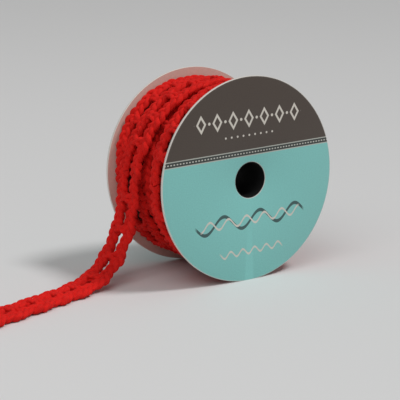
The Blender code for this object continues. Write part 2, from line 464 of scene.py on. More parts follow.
@dataclass(frozen=True)
class PlainCard:
    """Coated greyboard, die cut: smooth and faintly glossy, with paper fibre in it.

    The usual values are the white of its cut edge.
    """

    name: str = "white_coated_card"
    colour: str = "#e6e2dc"
    fleck: str = "#d9d4cc"
    fibre_scale: float = 1600.0
    relief: float = 0.25
    roughness: float = 0.42

    @classmethod
    def lining(cls) -> "PlainCard":
        """The unprinted inside, a dull grey paper whose pink tint is partly painted bounce light: the
        ribbon's red thrown on it.
        """
        # The pink in both tones is partly painted red bounce light from the ribbon.
        return cls("pink_grey_lining_paper", "#d4b0a6", "#c49d92", 900.0, 0.2, 0.5)

    def material(self) -> bpy.types.Material:
        """Builds the plain card's material.

        Returns:
            The material.
        """
        material, tree, shader = start_material(self.name)
        place = add_node(tree, "ShaderNodeTexCoord")
        fibre = add_node(
            tree,
            "ShaderNodeTexNoise",
            {"Vector": place.outputs["Object"], "Scale": self.fibre_scale, "Detail": 5.0},
        )
        colour = add_node(
            tree,
            "ShaderNodeMix",
            {0: fibre.outputs[0], 6: linear(self.fleck), 7: linear(self.colour)},
            data_type="RGBA",
        )
        bump = add_node(
            tree,
            "ShaderNodeBump",
            {"Strength": self.relief, "Distance": 0.03 * MM, "Height": fibre.outputs[0]},
        )
        tree.links.new(colour.outputs[2], shader.inputs["Base Color"])
        tree.links.new(bump.outputs[0], shader.inputs["Normal"])
        shader.inputs["Roughness"].default_value = self.roughness
        return material


@dataclass(frozen=True)
class PrintedCard:
    """Offset print on coated card in two flat tones, with a stitched stripe where they meet.

    The ornament is generic: a row of lozenges over dots in the dark field, and running scrolls in the
    light one. Sizes are in millimetres from the axle.
    """

    name: str = "printed_card"
    dark: str = "#524943"
    light: str = "#86c9c4"
    pale: str = "#d6d0c6"
    ink: str = "#44605f"
    stripe_ink: str = "#3f4442"
    stripe_line: str = "#b9bcb4"
    stripe_dash: str = "#c9c9c1"
    board: str = "#cfc9c0"
    turn_degrees: float = 2.1
    stripe_height: float = 9.45
    stripe_half: float = 0.95
    line_half: float = 0.22
    dash_half: float = 0.26
    dash_pitch: float = 1.2
    lozenge_height: float = 21.0
    lozenge_pitch: float = 6.4
    lozenge_reach: float = 3.2
    lozenge_row: float = 22.4
    edge: float = 0.12
    grain_a_mm: float = 2.2
    worn_from: float = 34.35
    worn_full: float = 34.75
    roughness: float = 0.38

    def repeated(
        self, tree: bpy.types.NodeTree, place: Socket, pitch: float, shift: float = 0.0
    ) -> Socket:
        """The distance of a place from the nearest of the evenly spaced lines.

        Args:
            tree: The node tree.
            place: The place along the row.
            pitch: The spacing of the lines.
            shift: How far the row is moved along.

        Returns:
            The distance, from nothing to half the pitch.
        """
        moved = add_node(tree, "ShaderNodeMath", {0: place, 1: shift}, operation="ADD")
        return add_node(
            tree, "ShaderNodeMath", {0: moved.outputs[0], 1: pitch / 2}, operation="PINGPONG"
        ).outputs[0]

    def stripe(
        self, tree: bpy.types.NodeTree, colour: Socket, across: Socket, up: Socket
    ) -> Socket:
        """Prints the dark stripe, its dashes and the pale line along each of its edges.

        Args:
            tree: The node tree.
            colour: The colour under the stripe.
            across: The place across the card.
            up: The place up the card.

        Returns:
            The colour with the stripe on it.
        """
        from_middle = from_line(tree, up, self.stripe_height)
        band = within(tree, from_middle, self.stripe_half, self.edge)
        colour = paint(tree, colour, linear(self.stripe_ink), band)
        from_edge = from_line(tree, from_middle, self.stripe_half)
        edges = within(tree, from_edge, self.line_half, self.edge)
        colour = paint(tree, colour, linear(self.stripe_line), edges)
        from_dash = self.repeated(tree, across, self.dash_pitch)
        dash = both(
            tree,
            within(tree, from_middle, self.dash_half, self.edge),
            within(tree, from_dash, self.dash_pitch * 0.3, self.edge),
        )
        return paint(tree, colour, linear(self.stripe_dash), dash)

    def lozenges(
        self, tree: bpy.types.NodeTree, colour: Socket, across: Socket, up: Socket
    ) -> Socket:
        """Prints a row of open lozenges with dots between, and a shorter row of dots under it.

        Args:
            tree: The node tree.
            colour: The colour under the rows.
            across: The place across the card.
            up: The place up the card.

        Returns:
            The colour with the rows on it.
        """
        beside_lozenge = self.repeated(tree, across, self.lozenge_pitch)
        wide = add_node(tree, "ShaderNodeMath", {0: beside_lozenge, 1: 0.5}, operation="MULTIPLY")
        reach = add_node(
            tree,
            "ShaderNodeMath",
            {
                0: from_line(tree, up, self.lozenge_height),
                1: 1 / self.lozenge_reach,
                2: wide.outputs[0],
            },
            operation="MULTIPLY_ADD",
        )
        outline = within(tree, from_line(tree, reach.outputs[0], 0.78), 0.24, 0.08)
        in_row = within(tree, from_line(tree, across, 0.0), self.lozenge_row, self.edge)
        colour = paint(tree, colour, linear(self.pale), both(tree, outline, in_row))
        # Each row of dots: its height, spacing and shift, a dot's radius, and half the row's length.
        for height, pitch, shift, radius, half_row in (
            (self.lozenge_height, self.lozenge_pitch, self.lozenge_pitch / 2, 0.55, 22.0),
            (15.4, 2.4, 0.0, 0.42, 10.0),
        ):
            beside = self.repeated(tree, across, pitch, shift)
            above = from_line(tree, up, height)
            squared = add_node(tree, "ShaderNodeMath", {0: above, 1: above}, operation="MULTIPLY")
            total = add_node(
                tree,
                "ShaderNodeMath",
                {0: beside, 1: beside, 2: squared.outputs[0]},
                operation="MULTIPLY_ADD",
            )
            away = add_node(tree, "ShaderNodeMath", {0: total.outputs[0], 1: 0.5}, operation="POWER")
            dots = within(tree, away.outputs[0], radius, self.edge)
            row = within(tree, from_line(tree, across, 0.0), half_row, self.edge)
            colour = paint(tree, colour, linear(self.pale), both(tree, dots, row))
        return colour

    def scrolls(
        self, tree: bpy.types.NodeTree, colour: Socket, across: Socket, up: Socket
    ) -> Socket:
        """Prints running scrolls, a dark one and two pale ones, in the light field.

        Args:
            tree: The node tree.
            colour: The colour under the scrolls.
            across: The place across the card.
            up: The place up the card.

        Returns:
            The colour with the scrolls on it.
        """
        # Each scroll: its height, swing and wave length, half its line, half its row, and its ink.
        for height, swing, length, half, half_row, ink in (
            (-13.5, 2.6, 15.0, 0.55, 23.0, self.ink),
            (-13.5, -1.5, 7.5, 0.32, 21.0, self.pale),
            (-24.5, 1.0, 5.0, 0.30, 13.5, self.pale),
        ):
            turned = add_node(
                tree, "ShaderNodeMath", {0: across, 1: 2 * pi / length}, operation="MULTIPLY"
            )
            wave = add_node(tree, "ShaderNodeMath", {0: turned.outputs[0]}, operation="SINE")
            line = add_node(
                tree,
                "ShaderNodeMath",
                {0: wave.outputs[0], 1: swing, 2: height},
                operation="MULTIPLY_ADD",
            )
            gap = add_node(tree, "ShaderNodeMath", {0: up, 1: line.outputs[0]}, operation="SUBTRACT")
            away = add_node(tree, "ShaderNodeMath", {0: gap.outputs[0]}, operation="ABSOLUTE")
            on_line = within(tree, away.outputs[0], half + self.edge, self.edge)
            row = within(tree, from_line(tree, across, 0.0), half_row, 1.0)
            colour = paint(tree, colour, linear(ink), both(tree, on_line, row))
        return colour

    def material(self, axle: Vector, side: Side) -> bpy.types.Material:
        """Builds the print for one flange.

        Args:
            axle: A point on the reel's axle.
            side: The flange, whose print is turned so that it reads upright from outside.

        Returns:
            The material.
        """
        material, tree, shader = start_material(f"{self.name}_{side.name.lower()}")
        place = add_node(tree, "ShaderNodeTexCoord")
        flip = -side.value / MM
        centred = add_node(
            tree,
            "ShaderNodeVectorMath",
            {0: place.outputs["Object"], 1: tuple(axle)},
            operation="SUBTRACT",
        )
        scaled = add_node(
            tree,
            "ShaderNodeVectorMath",
            {0: centred.outputs[0], 1: (flip, 0.0, 1 / MM)},
            operation="MULTIPLY",
        )
        turned = add_node(
            tree,
            "ShaderNodeMapping",
            {"Vector": scaled.outputs[0], "Rotation": (0.0, radians(self.turn_degrees), 0.0)},
        )
        parts = add_node(tree, "ShaderNodeSeparateXYZ", {0: turned.outputs[0]})
        across = parts.outputs[0]
        up = parts.outputs[2]
        grain = add_node(
            tree,
            "ShaderNodeTexNoise",
            {"Vector": scaled.outputs[0], "Scale": self.grain_a_mm, "Detail": 4.0},
        )
        above = add_node(
            tree, "ShaderNodeMath", {0: up, 1: self.stripe_height}, operation="GREATER_THAN"
        )
        base = add_node(
            tree,
            "ShaderNodeMix",
            {0: above.outputs[0], 6: linear(self.light), 7: linear(self.dark)},
            data_type="RGBA",
        ).outputs[2]
        colour = self.stripe(tree, base, across, up)
        colour = self.lozenges(tree, colour, across, up)
        colour = self.scrolls(tree, colour, across, up)
        reach = add_node(tree, "ShaderNodeVectorMath", {0: scaled.outputs[0]}, operation="LENGTH")
        frayed = add_node(
            tree,
            "ShaderNodeMath",
            {0: grain.outputs[0], 1: -0.5, 2: reach.outputs["Value"]},
            operation="MULTIPLY_ADD",
        )
        worn = add_node(
            tree,
            "ShaderNodeMapRange",
            {0: frayed.outputs[0], 1: self.worn_from, 2: self.worn_full, 3: 0.0, 4: 0.55},
        )
        colour = paint(tree, colour, linear(self.board), worn.outputs[0])
        tint = add_node(
            tree, "ShaderNodeMapRange", {0: grain.outputs[0], 1: 0.3, 2: 0.7, 3: 0.94, 4: 1.05}
        )
        shaded = add_node(
            tree, "ShaderNodeVectorMath", {0: colour, "Scale": tint.outputs[0]}, operation="SCALE"
        )
        bump = add_node(
            tree,
            "ShaderNodeBump",
            {"Strength": 0.15, "Distance": 0.02 * MM, "Height": grain.outputs[0]},
        )
        tree.links.new(shaded.outputs[0], shader.inputs["Base Color"])
        tree.links.new(bump.outputs[0], shader.inputs["Normal"])
        shader.inputs["Roughness"].default_value = self.roughness
        shader.inputs["Specular IOR Level"].default_value = 0.35
        return material


@dataclass(frozen=True)
class MouldedPlastic:
    """Black polystyrene, injection moulded: even and satin, with a fine texture from its mould."""

    name: str = "black_moulded_polystyrene"
    colour: str = "#080808"
    grain_scale: float = 3000.0
    roughness: float = 0.5

    def material(self) -> bpy.types.Material:
        """Builds the plastic's material.

        Returns:
            The material.
        """
        material, tree, shader = start_material(self.name)
        place = add_node(tree, "ShaderNodeTexCoord")
        grain = add_node(
            tree,
            "ShaderNodeTexNoise",
            {"Vector": place.outputs["Object"], "Scale": self.grain_scale, "Detail": 2.0},
        )
        tone = add_node(
            tree,
            "ShaderNodeMapRange",
            {0: grain.outputs[0], 3: self.roughness - 0.08, 4: self.roughness + 0.1},
        )
        bump = add_node(
            tree, "ShaderNodeBump", {"Strength": 0.2, "Distance": 0.02 * MM, "Height": grain.outputs[0]}
        )
        tree.links.new(tone.outputs[0], shader.inputs["Roughness"])
        tree.links.new(bump.outputs[0], shader.inputs["Normal"])
        shader.inputs["Base Color"].default_value = linear(self.colour)
        return material


@dataclass
class Reel:
    """The reel's places and sizes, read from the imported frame."""

    axle: Vector = field(init=False)
    radius: float = field(init=False)
    outer: dict[Side, float] = field(init=False)
    inner: dict[Side, float] = field(init=False)

    def __post_init__(self) -> None:
        """Reads the flanges' boxes."""
        front_low, front_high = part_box("front_flange")
        back_low, back_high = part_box("back_flange")
        self.radius = (front_high.x - front_low.x) / 2
        self.axle = Vector(
            (
                (front_low.x + front_high.x) / 2,
                (front_low.y + back_high.y) / 2,
                front_high.z - self.radius,
            )
        )
        self.outer = {Side.FRONT: front_low.y, Side.BACK: back_high.y}
        self.inner = {Side.FRONT: front_high.y, Side.BACK: back_low.y}

    def spun(self, bm: bmesh.types.BMesh, profile: list[tuple[float, float]], steps: int) -> None:
        """Spins a closed profile round the axle and welds the ring shut.

        Args:
            bm: The bmesh that takes the ring.
            profile: Points as radius and place along Y, in metres.
            steps: Steps in the whole turn.
        """
        corners = [
            bm.verts.new((self.axle.x + reach, along, self.axle.z)) for reach, along in profile
        ]
        edges = [bm.edges.new(pair) for pair in zip(corners, corners[1:] + corners[:1])]
        bmesh.ops.spin(
            bm,
            geom=corners + edges,
            cent=self.axle,
            axis=(0.0, 1.0, 0.0),
            angle=2 * pi,
            steps=steps,
            use_merge=True,
        )
        bmesh.ops.remove_doubles(bm, verts=bm.verts, dist=1e-7)
        bmesh.ops.recalc_face_normals(bm, faces=bm.faces)


@dataclass
class CardFlange:
    """One printed card disc with softened edges, the spindle hole and the flat foot."""

    reel: Reel
    side: Side
    hole_radius: float = 6.2 * MM
    edge_round: float = 0.12 * MM
    flat_facing: float = 0.95
    steps: int = 180

    def build(
        self, printed: bpy.types.Material, bare: bpy.types.Material, lining: bpy.types.Material
    ) -> bpy.types.Object:
        """Makes the flange, prints its outer face, lines its inner one and leaves its edge bare.

        Args:
            printed: The print's material.
            bare: The material of the card's cut edge.
            lining: The material of its inner face.

        Returns:
            The finished piece.
        """
        outer = self.reel.outer[self.side]
        inner = self.reel.inner[self.side]
        bm = bmesh.new()
        square = [
            (self.reel.radius, outer),
            (self.reel.radius, inner),
            (self.hole_radius, inner),
            (self.hole_radius, outer),
        ]
        self.reel.spun(bm, square, self.steps)
        soften(bm, self.edge_round)
        cut = bmesh.ops.bisect_plane(
            bm,
            geom=bm.verts[:] + bm.edges[:] + bm.faces[:],
            plane_co=(0.0, 0.0, 0.0),
            plane_no=(0.0, 0.0, -1.0),
            clear_outer=True,
        )
        foot = [e for e in cut["geom_cut"] if isinstance(e, bmesh.types.BMEdge)]
        bmesh.ops.holes_fill(bm, edges=foot, sides=0)
        bmesh.ops.recalc_face_normals(bm, faces=bm.faces)
        for face in bm.faces:
            facing = face.normal.y * self.side.value
            if facing > self.flat_facing:
                face.material_index = 0
            elif facing < -self.flat_facing:
                face.material_index = 2
            else:
                face.material_index = 1
        name = f"{self.side.name.lower()}_flange_card"
        piece = add_object(name, bm, [printed, bare, lining])
        settle(piece, (f"{self.side.name.lower()}_flange",))
        return piece


@dataclass
class HubTube:
    """The moulded tube that joins the flanges, with a thin collar through each card's hole."""

    reel: Reel
    bore_radius: float = 5.95 * MM
    collar_radius: float = 6.17 * MM
    tube_radius: float = 10.0 * MM
    collar_setback: float = 0.1 * MM
    seat: float = 0.3 * MM
    edge_round: float = 0.08 * MM
    steps: int = 96

    def build(self, plastic: bpy.types.Material) -> bpy.types.Object:
        """Makes the hub from one spun profile.

        Args:
            plastic: Its material.

        Returns:
            The finished piece.
        """
        front_end = self.reel.outer[Side.FRONT] + self.collar_setback
        back_end = self.reel.outer[Side.BACK] - self.collar_setback
        front_step = self.reel.inner[Side.FRONT] + self.seat
        back_step = self.reel.inner[Side.BACK] - self.seat
        profile = [
            (self.bore_radius, front_end),
            (self.collar_radius, front_end),
            (self.collar_radius, front_step),
            (self.tube_radius, front_step),
            (self.tube_radius, back_step),
            (self.collar_radius, back_step),
            (self.collar_radius, back_end),
            (self.bore_radius, back_end),
        ]
        bm = bmesh.new()
        self.reel.spun(bm, profile, self.steps)
        soften(bm, self.edge_round)
        piece = add_object("hub_moulding", bm, [plastic])
        settle(piece, ("hub",))
        return piece


@dataclass
class RibbonPath:
    """The line that the ribbon's middle follows, with the ribbon's own axes along it."""

    along: Array
    middle: Array
    across: Array
    outward: Array

    @classmethod
    def through(cls, knots: Array, across: Array, zero_knot: int = 0) -> "RibbonPath":
        """Fits a smooth path.

        Args:
            knots: Points that the ribbon's middle passes through, in the order of its length.
            across: The direction of the ribbon's width at each of them.
            zero_knot: The knot that lengths are counted from.

        Returns:
            The path, read about every quarter of a millimetre.
        """
        chords = np.linalg.norm(np.diff(knots, axis=0), axis=1)
        knot_places = np.concatenate([[0.0], np.cumsum(chords)])
        count = int(knot_places[-1] / (0.25 * MM)) + 1
        fine = np.linspace(0.0, knot_places[-1], count)
        middle = smooth_through(knot_places, knots, fine)
        steps = np.linalg.norm(np.diff(middle, axis=0), axis=1)
        along = np.concatenate([[0.0], np.cumsum(steps)])
        heading = unit(np.gradient(middle, along, axis=0))
        width = smooth_through(knot_places, across, fine)
        width = unit(width - heading * np.sum(width * heading, axis=1)[:, None])
        along = along - np.interp(knot_places[zero_knot], fine, along)
        return cls(along, middle, width, np.cross(width, heading))

    @property
    def start(self) -> float:
        """The length at which the path starts."""
        return float(self.along[0])

    @property
    def end(self) -> float:
        """The length at which the path ends."""
        return float(self.along[-1])

    def read(self, rows: Array, along: Array) -> Array:
        """Reads one of the path's columns of vectors at these lengths."""
        return np.stack([np.interp(along, self.along, rows[:, axis]) for axis in range(3)], axis=1)

    def place(self, along: Array, across: Array, out: Array) -> Array:
        """Turns places on the ribbon into points of the frame.

        Args:
            along: Lengths along the ribbon.
            across: Places across its width, towards the back of the reel.
            out: Heights over its middle, away from the reel.

        Returns:
            A row of three numbers for each place.
        """
        middle = self.read(self.middle, along)
        sideways = self.read(self.across, along) * across[:, None]
        return middle + sideways + self.read(self.outward, along) * out[:, None]


@dataclass(frozen=True)
class Yarn:
    """Plied crochet yarn: a tube whose section has a lobe for each ply, turning along it."""

    radius: float = 0.98 * MM
    plies: int = 3
    ply_relief: float = 0.10
    ply_turn: float = 4.4 * MM
    sides: int = 12
    step: float = 0.42 * MM
    table: float = 0.02 * MM

    def lay(
        self,
        into: bmesh.types.BMesh,
        line: Array,
        beside: Array,
        swell: Array,
        closed: bool = False,
    ) -> None:
        """Lays one strand along a line and adds it to a bmesh.

        Args:
            into: The bmesh that takes the strand.
            line: Points of the strand's middle, evenly spaced.
            beside: A direction at each point that isn't along the line.
            swell: The strand's thickness at each point, as a share of its usual one.
            closed: Whether the line's last point is its first.
        """
        steps = np.linalg.norm(np.diff(line, axis=0), axis=1)
        along = np.concatenate([[0.0], np.cumsum(steps)])
        heading = unit(np.gradient(line, axis=0))
        if closed:
            heading[0] = heading[-1] = unit((heading[:1] + heading[-1:]) / 2)[0]
        first = unit(beside - heading * np.sum(beside * heading, axis=1)[:, None])
        second = np.cross(heading, first)
        turns = max(1, round(along[-1] / self.ply_turn))
        around = 2 * pi * np.arange(self.sides) / self.sides
        lobes = np.cos(self.plies * around[None, :] - 2 * pi * turns * (along / along[-1])[:, None])
        reach = self.radius * swell[:, None] * (1 + self.ply_relief * lobes)
        skin = (
            line[:, None, :]
            + first[:, None, :] * (np.cos(around)[None, :] * reach)[:, :, None]
            + second[:, None, :] * (np.sin(around)[None, :] * reach)[:, :, None]
        )
        skin[:, :, 2] = np.maximum(skin[:, :, 2], self.table)
        self.wrap(into, skin, along, closed)

    def wrap(self, into: bmesh.types.BMesh, skin: Array, along: Array, closed: bool) -> None:
        """Wraps a grid of faces round a strand, welds it and closes its ends.

        Args:
            into: The bmesh that takes the strand.
            skin: Points of its surface, by ring and by corner of the ring.
            along: Each ring's length from the strand's start.
            closed: Whether the last ring is the first.
        """
        last = len(skin) - 1
        places = skin.tolist()
        bm = bmesh.new()
        strand_map = bm.loops.layers.uv.new("strand")
        bmesh.ops.create_grid(bm, x_segments=last, y_segments=self.sides, size=0.5, calc_uvs=True)
        for face in bm.faces:
            for loop in face.loops:
                ring = round((loop.vert.co.x + 0.5) * last)
                loop[strand_map].uv = (along[ring] / MM, loop.vert.co.y + 0.5)
        for vertex in bm.verts:
            ring = round((vertex.co.x + 0.5) * last)
            corner = round((vertex.co.y + 0.5) * self.sides) % self.sides
            vertex.co = places[ring][corner]
        bmesh.ops.remove_doubles(bm, verts=bm.verts, dist=1e-6)
        if not closed:
            ends = [e for e in bm.edges if e.is_boundary]
            bmesh.ops.holes_fill(bm, edges=ends, sides=0)
        bmesh.ops.recalc_face_normals(bm, faces=bm.faces)
        strand = bpy.data.meshes.new("strand")
        bm.to_mesh(strand)
        bm.free()
        into.from_mesh(strand)
        bpy.data.meshes.remove(strand)


@dataclass(frozen=True)
class CrochetPattern:
    """The ribbon's stitches: two plaited cords, swelling at each bar that ties them together."""

    repeat: float = 9.7 * MM
    offset: float = 3.0 * MM
    spread: float = 0.55 * MM
    spread_ends: float = 22.0 * MM
    cord_swing: float = 1.42 * MM
    swell_at_bar: float = 0.16
    cord_lift: float = 0.40 * MM
    stitch: float = 8.6 * MM
    strands: int = 3
    scallop: float = 0.34 * MM
    scallop_lag: float = 0.12
    wander: float = 0.12 * MM
    wander_length: float = 6.0 * MM
    bar_reach: float = 2.6 * MM
    bar_lift: float = 1.05 * MM

    def repeats(self, along: Array, slots: tuple[float, ...]) -> Array:
        """Counts repeats along a run: a whole number at each bar, and a half over at each slot.

        Args:
            along: Lengths along the run.
            slots: The middles of slots that aren't evenly spaced, or none.

        Returns:
            The count at each length.
        """
        if not slots:
            return along / self.repeat
        before = slots[0] - self.repeat * np.arange(60, 0, -1)
        after = slots[-1] + self.repeat * np.arange(1, 4)
        places = np.concatenate([before, slots, after])
        return smooth_through(places, np.arange(len(places)) + 0.5, along)

    def cord_middle(self, along: Array, closed: bool) -> Array:
        """How far a cord's middle lies from the ribbon's, which lies wider on the reel."""
        share = np.ones(len(along)) if closed else np.clip(1 - along / self.spread_ends, 0.0, 1.0)
        return self.offset + self.spread * share * share * (3 - 2 * share)

    def drift(
        self, rng: np.random.Generator, along: Array, size: float, closed: bool
    ) -> Array:
        """A smooth unevenness along the ribbon.

        Args:
            rng: Where its random values come from.
            along: Lengths along the ribbon.
            size: Its usual size.
            closed: Whether it has to end as it starts.

        Returns:
            A value for each length.
        """
        count = max(4, int((along[-1] - along[0]) / self.wander_length))
        knots = np.linspace(along[0], along[-1], count)
        values = rng.normal(0.0, size, count).clip(-2 * size, 2 * size)
        if closed:
            values[-1] = values[0]
        return smooth_through(knots, values, along)


@dataclass
class CrochetRun:
    """A stretch of the ribbon in yarn, laid along a path."""

    name: str
    path: RibbonPath
    seed: int
    start: float
    end: float
    closed: bool = False
    pattern: CrochetPattern = field(default_factory=CrochetPattern)
    yarn: Yarn = field(default_factory=Yarn)

    def pitch(self, usual: float) -> float:
        """A spacing near the usual one that goes into a closed run a whole number of times."""
        length = self.end - self.start
        return length / round(length / usual) if self.closed else usual

    def count(self, along: Array) -> Array:
        """Counts repeats along this run, evenly where it is closed.

        Args:
            along: Lengths along the run.

        Returns:
            The count at each length.
        """
        if self.closed:
            return along / self.pitch(self.pattern.repeat)
        return self.pattern.repeats(along, tuple(place * MM for place in SLOT_PLACES))

    def lay_cord(self, bm: bmesh.types.BMesh, side: int, rng: np.random.Generator) -> None:
        """Plaits one of the two cords.

        Args:
            bm: The bmesh that takes its strands.
            side: One for the cord towards the back of the reel, or minus one.
            rng: Where its unevenness comes from.
        """
        pattern = self.pattern
        rings = int((self.end - self.start) / self.yarn.step) + 1
        along = np.linspace(self.start, self.end, rings)
        count = self.count(along)
        at_bar = np.cos(2 * pi * count)
        middle = side * pattern.cord_middle(along, self.closed)
        middle = middle + pattern.drift(rng, along, pattern.wander, self.closed)
        if side < 0:
            middle = middle - pattern.scallop * np.cos(2 * pi * (count - pattern.scallop_lag))
        swing = pattern.cord_swing * (1 + pattern.swell_at_bar * at_bar)
        beside = self.path.read(self.path.outward, along)
        for strand in range(pattern.strands):
            turn = 2 * pi * (along / self.pitch(pattern.stitch) + strand / pattern.strands)
            turn = turn + pattern.drift(rng, along, 0.16, self.closed)
            across = middle + side * swing * np.sin(turn)
            uneven = pattern.drift(rng, along, 0.05 * MM, self.closed)
            out = pattern.cord_lift * np.sin(2 * turn) + uneven
            swell = 1 + 0.05 * at_bar + pattern.drift(rng, along, 0.04, self.closed)
            line = self.path.place(along, across, out)
            if self.closed:
                line[-1] = line[0]
            self.yarn.lay(bm, line, beside, swell, self.closed)

    def lay_bar(self, bm: bmesh.types.BMesh, at: float, rng: np.random.Generator) -> None:
        """Ties the two cords together at one place with two crossing strands and one under them.

        Args:
            bm: The bmesh that takes the strands.
            at: The bar's length along the ribbon.
            rng: Where its unevenness comes from.
        """
        pattern = self.pattern
        reach = pattern.bar_reach
        # Each strand: how far it leans along the ribbon, and the face that it lies on.
        for lean, face in ((1.0, 1.0), (-1.0, 1.0), (0.4, -1.0)):
            lean_along = lean * rng.uniform(0.7, 1.0) * MM
            lift = face * pattern.bar_lift * rng.uniform(0.85, 1.05)
            knots = np.array(
                [
                    (-lean_along * 1.3, -reach, -0.2 * lift),
                    (-lean_along, -reach * 0.55, lift),
                    (0.0, 0.0, 0.62 * lift),
                    (lean_along, reach * 0.55, lift),
                    (lean_along * 1.3, reach, -0.2 * lift),
                ]
            )
            places = np.arange(len(knots), dtype=float)
            fine = np.linspace(0.0, places[-1], 15)
            local = smooth_through(places, knots, fine)
            along = (at + local[:, 0]).clip(self.start, self.end)
            line = self.path.place(along, local[:, 1], local[:, 2])
            heading = self.path.read(np.cross(self.path.outward, self.path.across), along)
            swell = 0.82 + 0.1 * np.sin(pi * fine / places[-1])
            self.yarn.lay(bm, line, heading, swell)

    def build(self, cotton: bpy.types.Material) -> bpy.types.Object:
        """Makes the run as one piece.

        Args:
            cotton: Its material.

        Returns:
            The finished piece.
        """
        rng = np.random.default_rng(self.seed)
        bm = bmesh.new()
        bm.loops.layers.uv.new("strand")
        for side in (-1, 1):
            self.lay_cord(bm, side, rng)
        fine = np.linspace(self.start, self.end, 4000)
        count = self.count(fine)
        for bar in range(int(np.ceil(count[0] + 0.15)), int(np.floor(count[-1] + 0.85))):
            self.lay_bar(bm, float(np.interp(bar, count, fine)), rng)
        piece = add_object(self.name, bm, [cotton])
        settle(piece)
        return piece


@dataclass
class WoundRibbon:
    """The ribbon on the reel and its loose end, turn by turn, over a tightly wound bed painted darker
    as shade.
    """

    reel: Reel
    knot_degrees: float = 6.0
    half_width: float = 5.7 * MM
    table_lift: float = 0.2 * MM
    bed_radius: float = 26.6 * MM
    bed_ridge: float = 0.7 * MM
    bed_ridges: int = 7
    bore_radius: float = 10.3 * MM
    seat: float = 0.3 * MM
    loose_length: float = 97.0 * MM
    loose_area_share: float = 0.8
    ground_rows: int = 12
    ground_columns: int = 5
    ground_core: float = 1.6 * MM
    ground_thickness: float = 0.9 * MM
    slot_ends: tuple[float, float] = (0.14, 0.86)

    def turn_knots(self, rows: tuple[tuple[float, ...], ...]) -> tuple[Array, Array]:
        """Points and width directions of a laid turn, from its earlier end to its later one.

        Args:
            rows: The turn's table, in degrees and millimetres.

        Returns:
            The points of the ribbon's middle, and the direction of its width at each.
        """
        table = np.array(rows[::-1])
        count = round((table[-1, 0] - table[0, 0]) / self.knot_degrees) + 1
        angles = np.linspace(table[0, 0], table[-1, 0], count)
        laid = smooth_through(table[:, 0], table[:, 1:], angles) * MM
        turned = np.radians(angles)
        outward = np.stack([np.cos(turned), np.zeros(count), np.sin(turned)], axis=1)
        points = np.array(self.reel.axle) + outward * laid[:, 1:2]
        points[:, 1] += laid[:, 0]
        roll = np.arctan(laid[:, 2] / self.half_width)
        across = outward * np.sin(roll)[:, None]
        across[:, 1] = np.cos(roll)
        return points, across

    def loose_knots(self) -> tuple[Array, Array]:
        """Points and width directions of the loose end, from the reel outwards."""
        points = np.array(LOOSE_END_ROUTE) * MM
        points[:, 0] += self.reel.axle.x
        points[:, 1] += self.reel.axle.y
        points[:, 2] += self.table_lift * np.clip(12 - points[:, 2] / MM, 0.0, 10.0) / 10
        chords = np.linalg.norm(np.diff(points, axis=0), axis=1)
        share = np.concatenate([[0.0], np.cumsum(chords)]) / chords.sum()
        turned = np.clip(share * 3, 0.0, 1.0)
        turned = (turned * turned * (3 - 2 * turned))[:, None]
        across = np.array([0.0, 1.0, 0.0]) * (1 - turned) + np.array([-0.31, 0.95, 0.0]) * turned
        return points, across

    def top_path(self) -> RibbonPath:
        """The path of the front turn, the top turn and the loose end.

        Returns:
            The path, whose lengths are counted from where the ribbon leaves the reel.
        """
        front_points, front_across = self.turn_knots(FRONT_TURN)
        top_points, top_across = self.turn_knots(TOP_TURN)
        loose_points, loose_across = self.loose_knots()
        knots = np.concatenate([front_points[:-1], top_points[:-1], loose_points])
        across = np.concatenate([front_across[:-1], top_across[:-1], loose_across])
        return RibbonPath.through(knots, across, len(front_points) + len(top_points) - 2)

    def build_bed(self, shade_darkened_bed: bpy.types.Material) -> bpy.types.Object:
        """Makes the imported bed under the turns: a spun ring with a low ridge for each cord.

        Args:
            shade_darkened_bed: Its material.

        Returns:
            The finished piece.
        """
        low = self.reel.inner[Side.FRONT] + self.seat
        high = self.reel.inner[Side.BACK] - self.seat
        columns = self.bed_ridges * 6
        outside = []
        for column in range(columns + 1):
            share = column / columns
            ridge = float(abs(np.sin(pi * share * self.bed_ridges)))
            reach = self.bed_radius + self.bed_ridge * ridge
            outside.append((reach, low + (high - low) * share))
        profile = outside + [(self.bore_radius, high), (self.bore_radius, low)]
        bm = bmesh.new()
        self.reel.spun(bm, profile, 180)
        # The bed's material is painted darker than the yarn: painted shade for the depth between the
        # turns.
        piece = add_object("wound_bed", bm, [shade_darkened_bed])
        settle(piece, ("winding",))
        return piece

    def build_turns(self, cotton: bpy.types.Material, path: RibbonPath) -> None:
        """Makes the turns that show on the reel.

        Args:
            cotton: Their material.
            path: The path of the top run, with the length where it leaves the reel as nothing.
        """
        front_length = self.turn_length(FRONT_TURN)
        split = path.start + front_length
        CrochetRun("front_turn", path, 11, path.start, split).build(cotton)
        CrochetRun("top_turn", path, 12, split, 0.0).build(cotton)
        for name, rows, seed in (("back_turn", BACK_TURN, 13), ("under_turn", UNDER_TURN, 14)):
            ring = RibbonPath.through(*self.turn_knots(rows))
            CrochetRun(name, ring, seed, ring.start, ring.end, closed=True).build(cotton)

    def turn_length(self, rows: tuple[tuple[float, ...], ...]) -> float:
        """The length of ribbon in a laid turn."""
        return RibbonPath.through(*self.turn_knots(rows)).end

    def build_loose_end(self, cotton: bpy.types.Material, path: RibbonPath) -> None:
        """Makes the loose end: its ground and the stitches on it.

        Args:
            cotton: Their material.
            path: The path, which the loose end follows from a length of nothing.
        """
        end = min(self.loose_length, path.end)
        stitches = CrochetRun("loose_end_stitches", path, 15, 0.0, end).build(cotton)
        ground = self.loose_ground(cotton, path, end)
        settle(ground, ("loose_end",))

